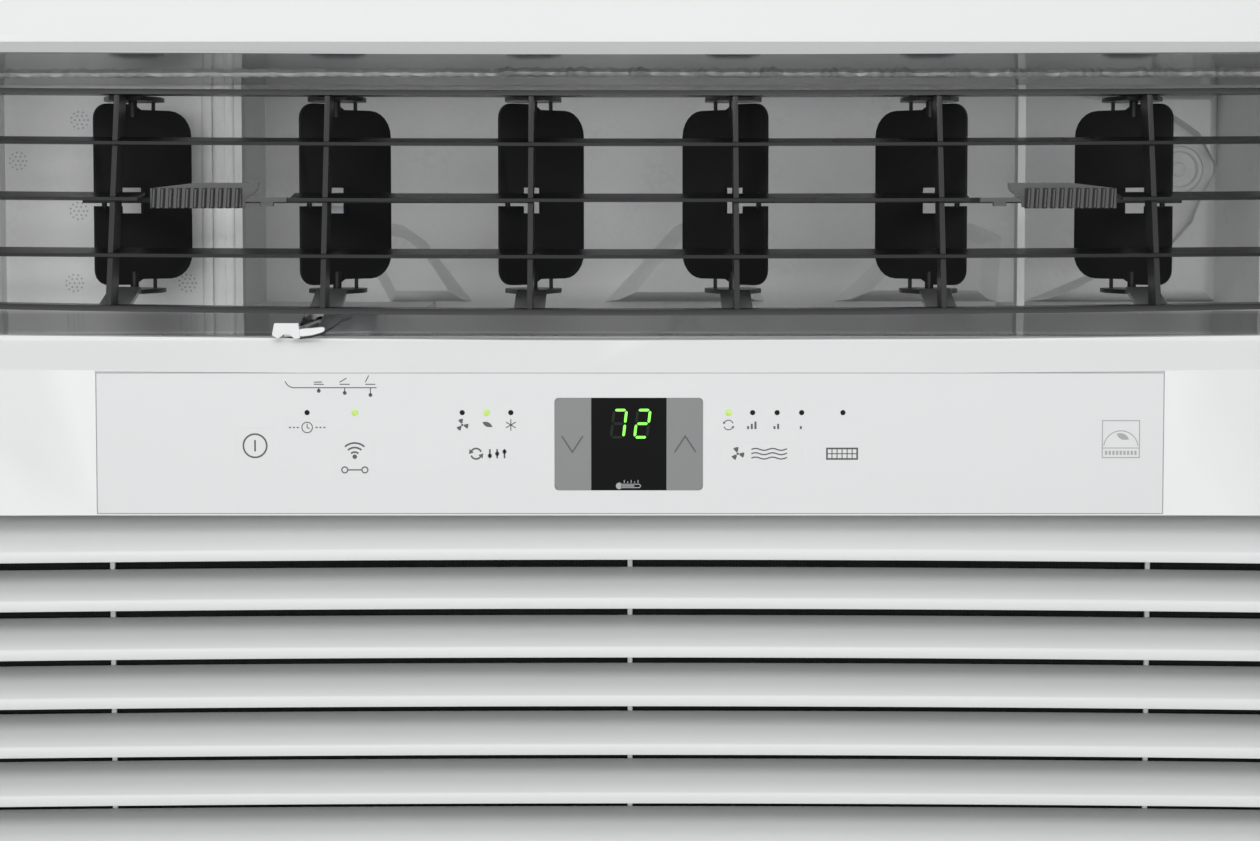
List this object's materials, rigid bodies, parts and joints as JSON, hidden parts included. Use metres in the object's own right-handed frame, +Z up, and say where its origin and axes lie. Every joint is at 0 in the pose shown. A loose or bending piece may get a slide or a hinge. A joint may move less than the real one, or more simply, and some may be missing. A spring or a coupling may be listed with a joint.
{
  "type": "window air conditioner",
  "caption": "White window air conditioner with a tilting louver cassette, sweeping vanes, flush control strip, tilt-out slatted intake grille and full inner works.",
  "frame": {"origin": "middle of the underside, on the surface the unit stands on", "axes": "+X across the width, -Y towards the room, +Z up"},
  "size_m": [0.656, 0.575, 0.455],
  "materials": {
    "bezel_plastic": "satin white",
    "overlay_film": "matt pale grey film",
    "key_grey": "satin grey",
    "display_black": "gloss black",
    "lamp_lens": "tinted lens",
    "board_green": "solder mask",
    "louver_plastic": "gloss charcoal",
    "vane_plastic": "satin black",
    "tab_plastic": "satin dark grey",
    "filter_mesh": "woven mesh",
    "duct_foam": "moulded bead foam",
    "strip_plastic": "satin white",
    "fan_plastic": "moulded",
    "steel_sheet": "powder coat",
    "galvanised": "zinc",
    "fin_aluminium": "thin fins",
    "copper_pipe": "drawn copper",
    "black_enamel": "enamel",
    "rubber_black": "matt",
    "steel_shaft": "turned"
  },
  "bodies": {
    "cabinet": {"front_bezel": "bezel_plastic", "control_overlay": "overlay_film", "display_window": "display_black", "display_module": "tab_plastic", "indicator_lenses": "lamp_lens", "control_board": "board_green", "board_carrier": "bezel_plastic", "discharge_housing": "louver_plastic", "duct_foam": "duct_foam", "duct_strips": "strip_plastic", "inlet_ring": "fan_plastic", "fan_motor": "black_enamel", "motor_bracket": "galvanised", "fan_shroud": "fan_plastic", "bulkhead": "galvanised", "evaporator_fins": "fin_aluminium", "evaporator_tubes": "copper_pipe", "condenser_fins": "fin_aluminium", "condenser_tubes": "copper_pipe", "compressor": "black_enamel", "compressor_feet": "rubber_black", "suction_line": "copper_pipe", "discharge_line": "copper_pipe", "capacitor": "fin_aluminium", "control_box": "galvanised", "sensor_probe": "copper_pipe", "base_pan": "steel_sheet", "cabinet_wrap": "steel_sheet", "rear_guard": "steel_sheet", "top_rail": "galvanised", "cabinet_screws": "steel_shaft", "cord_gland": "rubber_black"},
    "grille_door": {"intake_grille": "bezel_plastic"},
    "filter_tray": {"air_filter": "filter_mesh"},
    "cassette": {"louver_cassette": "louver_plastic"},
    "left_sweep": {"left_link": "vane_plastic", "left_tab": "tab_plastic"},
    "right_sweep": {"right_link": "vane_plastic", "right_tab": "tab_plastic"},
    "vent_control": {"vent_lever": "bezel_plastic", "vent_rod": "steel_shaft"},
    "vent_door": {"vent_flap": "galvanised"},
    "rotor": {"motor_shaft": "steel_shaft", "blower_wheel": "fan_plastic", "condenser_fan": "fan_plastic"},
    "vane_left_outer_body": {"vane_left_outer": "vane_plastic"},
    "vane_left_middle_body": {"vane_left_middle": "vane_plastic"},
    "vane_left_inner_body": {"vane_left_inner": "vane_plastic"},
    "vane_right_inner_body": {"vane_right_inner": "vane_plastic"},
    "vane_right_middle_body": {"vane_right_middle": "vane_plastic"},
    "vane_right_outer_body": {"vane_right_outer": "vane_plastic"},
    "power_key_body": {"power_key": "overlay_film"},
    "scheduler_key_body": {"scheduler_key": "overlay_film"},
    "connect_key_body": {"connect_key": "overlay_film"},
    "mode_key_body": {"mode_key": "overlay_film"},
    "temp_down_key_body": {"temp_down_key": "key_grey"},
    "temp_up_key_body": {"temp_up_key": "key_grey"},
    "fan_speed_key_body": {"fan_speed_key": "overlay_film"},
    "filter_key_body": {"filter_key": "overlay_film"}
  },
  "joints": [
    {"name": "power_key_press", "type": "slide", "parent": "cabinet", "child": "power_key_body", "axis": [0, 1, 0], "range_m": [0, 0.0006], "stiffness_N_per_m": 1500},
    {"name": "scheduler_key_press", "type": "slide", "parent": "cabinet", "child": "scheduler_key_body", "axis": [0, 1, 0], "range_m": [0, 0.0006], "stiffness_N_per_m": 1500},
    {"name": "connect_key_press", "type": "slide", "parent": "cabinet", "child": "connect_key_body", "axis": [0, 1, 0], "range_m": [0, 0.0006], "stiffness_N_per_m": 1500},
    {"name": "mode_key_press", "type": "slide", "parent": "cabinet", "child": "mode_key_body", "axis": [0, 1, 0], "range_m": [0, 0.0006], "stiffness_N_per_m": 1500},
    {"name": "temp_down_key_press", "type": "slide", "parent": "cabinet", "child": "temp_down_key_body", "axis": [0, 1, 0], "range_m": [0, 0.0006], "stiffness_N_per_m": 1500},
    {"name": "temp_up_key_press", "type": "slide", "parent": "cabinet", "child": "temp_up_key_body", "axis": [0, 1, 0], "range_m": [0, 0.0006], "stiffness_N_per_m": 1500},
    {"name": "fan_speed_key_press", "type": "slide", "parent": "cabinet", "child": "fan_speed_key_body", "axis": [0, 1, 0], "range_m": [0, 0.0006], "stiffness_N_per_m": 1500},
    {"name": "filter_key_press", "type": "slide", "parent": "cabinet", "child": "filter_key_body", "axis": [0, 1, 0], "range_m": [0, 0.0006], "stiffness_N_per_m": 1500},
    {"name": "grille_tilt", "type": "hinge", "parent": "cabinet", "child": "grille_door", "pos_m": [0, -0.284, 0.024], "axis": [1, 0, 0], "range_deg": [0, 60]},
    {"name": "filter_lift", "type": "slide", "parent": "grille_door", "child": "filter_tray", "axis": [0, 0, 1], "range_m": [0, 0.07]},
    {"name": "louver_tilt", "type": "hinge", "parent": "cabinet", "child": "cassette", "pos_m": [0, -0.239, 0.357], "axis": [1, 0, 0], "range_deg": [-8, 8]},
    {"name": "left_vane_sweep", "type": "slide", "parent": "cassette", "child": "left_sweep", "axis": [1, 0, 0], "range_m": [0, 0.0226]},
    {"name": "right_vane_sweep", "type": "slide", "parent": "cassette", "child": "right_sweep", "axis": [-1, 0, 0], "range_m": [0, 0.0226]},
    {"name": "vane_left_outer_turn", "type": "hinge", "parent": "cassette", "child": "vane_left_outer_body", "pos_m": [-0.2317, -0.212, 0.36], "axis": [0, 0, 1], "range_deg": [0, 94]},
    {"name": "vane_left_middle_turn", "type": "hinge", "parent": "cassette", "child": "vane_left_middle_body", "pos_m": [-0.1369, -0.212, 0.36], "axis": [0, 0, 1], "range_deg": [0, 94]},
    {"name": "vane_left_inner_turn", "type": "hinge", "parent": "cassette", "child": "vane_left_inner_body", "pos_m": [-0.0452, -0.212, 0.36], "axis": [0, 0, 1], "range_deg": [0, 94]},
    {"name": "vane_right_inner_turn", "type": "hinge", "parent": "cassette", "child": "vane_right_inner_body", "pos_m": [0.0482, -0.212, 0.36], "axis": [0, 0, -1], "range_deg": [0, 94]},
    {"name": "vane_right_middle_turn", "type": "hinge", "parent": "cassette", "child": "vane_right_middle_body", "pos_m": [0.1399, -0.212, 0.36], "axis": [0, 0, -1], "range_deg": [0, 94]},
    {"name": "vane_right_outer_turn", "type": "hinge", "parent": "cassette", "child": "vane_right_outer_body", "pos_m": [0.2347, -0.212, 0.36], "axis": [0, 0, -1], "range_deg": [0, 94]},
    {"name": "vent_pull", "type": "slide", "parent": "cabinet", "child": "vent_control", "axis": [0, -1, 0], "range_m": [0, 0.014]},
    {"name": "vent_flap_turn", "type": "hinge", "parent": "cabinet", "child": "vent_door", "pos_m": [-0.1495, -0.055, 0.322], "axis": [-1, 0, 0], "range_deg": [0, 31]},
    {"name": "fan_spin", "type": "hinge", "parent": "cabinet", "child": "rotor", "pos_m": [0.04, 0, 0.165], "axis": [0, -1, 0], "continuous": true}
  ],
  "couplings": [
    {"joint": "vane_left_outer_turn", "follows": "left_vane_sweep", "rad_per_m": 72.363},
    {"joint": "vane_left_middle_turn", "follows": "left_vane_sweep", "rad_per_m": 72.363},
    {"joint": "vane_left_inner_turn", "follows": "left_vane_sweep", "rad_per_m": 72.363},
    {"joint": "vane_right_inner_turn", "follows": "right_vane_sweep", "rad_per_m": 72.363},
    {"joint": "vane_right_middle_turn", "follows": "right_vane_sweep", "rad_per_m": 72.363},
    {"joint": "vane_right_outer_turn", "follows": "right_vane_sweep", "rad_per_m": 72.363},
    {"joint": "vent_flap_turn", "follows": "vent_pull", "rad_per_m": 38.377}
  ]
}
